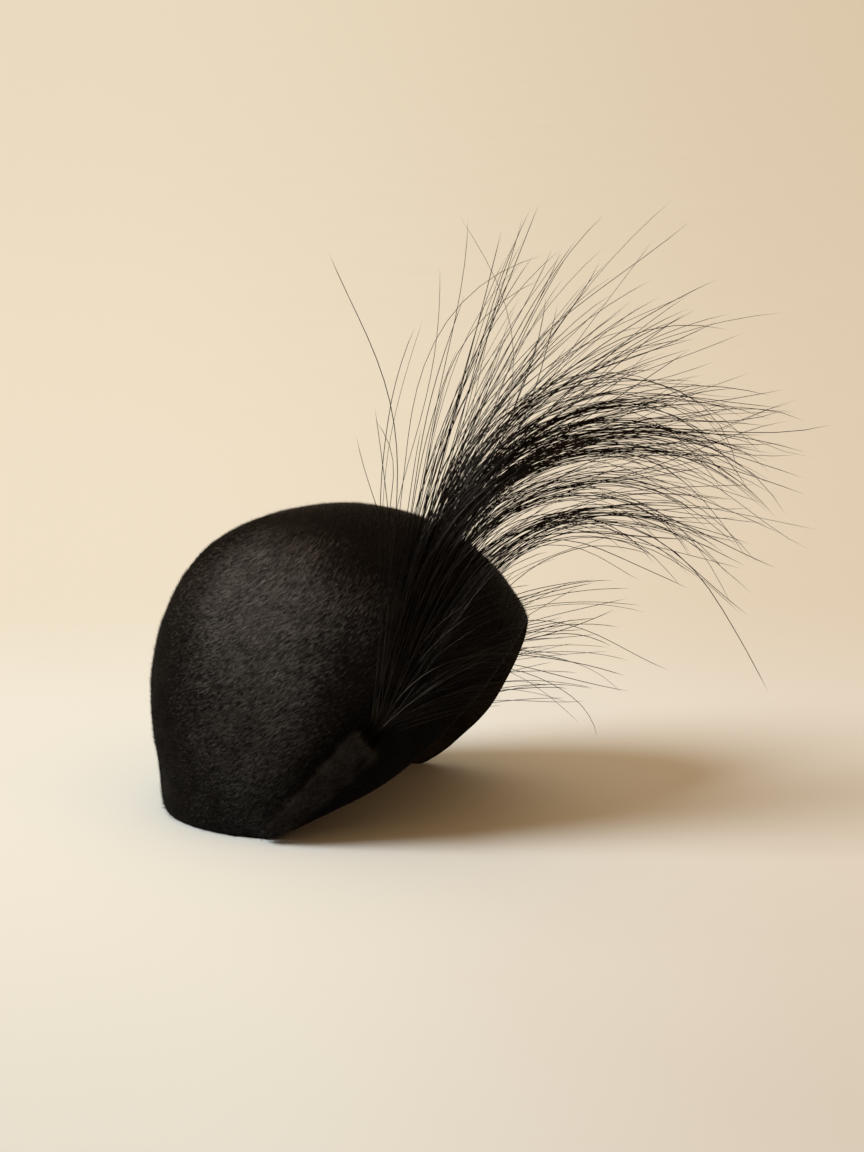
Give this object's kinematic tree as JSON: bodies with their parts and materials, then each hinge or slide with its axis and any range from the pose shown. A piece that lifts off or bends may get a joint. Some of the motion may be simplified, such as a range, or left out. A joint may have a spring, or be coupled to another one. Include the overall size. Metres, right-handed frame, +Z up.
{
  "type": "cocktail hat",
  "caption": "Hollow domed cap of one blocked felt, pointed at the front, with a rolled felt sleeve low on one side holding a wide fan of long stiff hair.",
  "frame": {"origin": "on the table, under the middle of the whole hat", "axes": "+X along the hat from its back to its raised front point, +Y away from the plumed side, +Z up"},
  "size_m": [0.3434, 0.1966, 0.3111],
  "materials": {
    "felt": "long-napped fur felt, nearly black, with a soft sheen along the nap",
    "hair": "long smooth black hair with a narrow gloss"
  },
  "bodies": {
    "root": {"crown": "felt", "felt_sleeve": "felt", "plume": "hair"}
  },
  "joints": []
}
